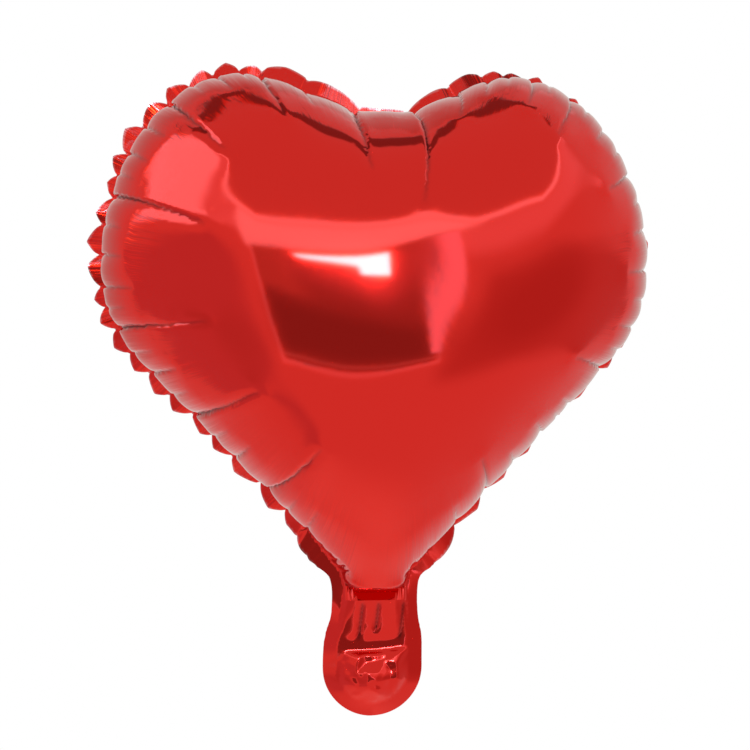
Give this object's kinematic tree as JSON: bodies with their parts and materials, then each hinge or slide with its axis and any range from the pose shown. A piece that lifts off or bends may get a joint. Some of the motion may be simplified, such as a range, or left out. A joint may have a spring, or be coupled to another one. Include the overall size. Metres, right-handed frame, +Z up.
{
  "type": "heart-shaped foil balloon",
  "caption": "Inflated heart-shaped foil balloon: two metallised films sealed in a scalloped seam, with a flat valve tail that folds at the neck.",
  "frame": {"origin": "the neck, on the fold line between the inflated heart and the tail, midway between the two films", "axes": "+Z up from the tail through the heart, front faces -Y, +X to the right as seen from the front"},
  "size_m": [0.373, 0.1828, 0.426],
  "materials": {
    "red_foil": "mirror-bright metallised film, tinted red",
    "valve_film": "clear soft film"
  },
  "bodies": {
    "envelope": {"front_panel": "red_foil", "back_panel": "red_foil", "valve_front_film": "valve_film", "valve_back_film": "valve_film"},
    "tail": {"tail_front_film": "red_foil", "tail_back_film": "red_foil", "valve_mouth_front": "valve_film", "valve_mouth_back": "valve_film"}
  },
  "joints": [
    {"name": "tail_bend", "type": "hinge", "parent": "envelope", "child": "tail", "pos_m": [0, 0, 0], "axis": [1, 0, 0], "range_deg": [-80, 80]}
  ]
}
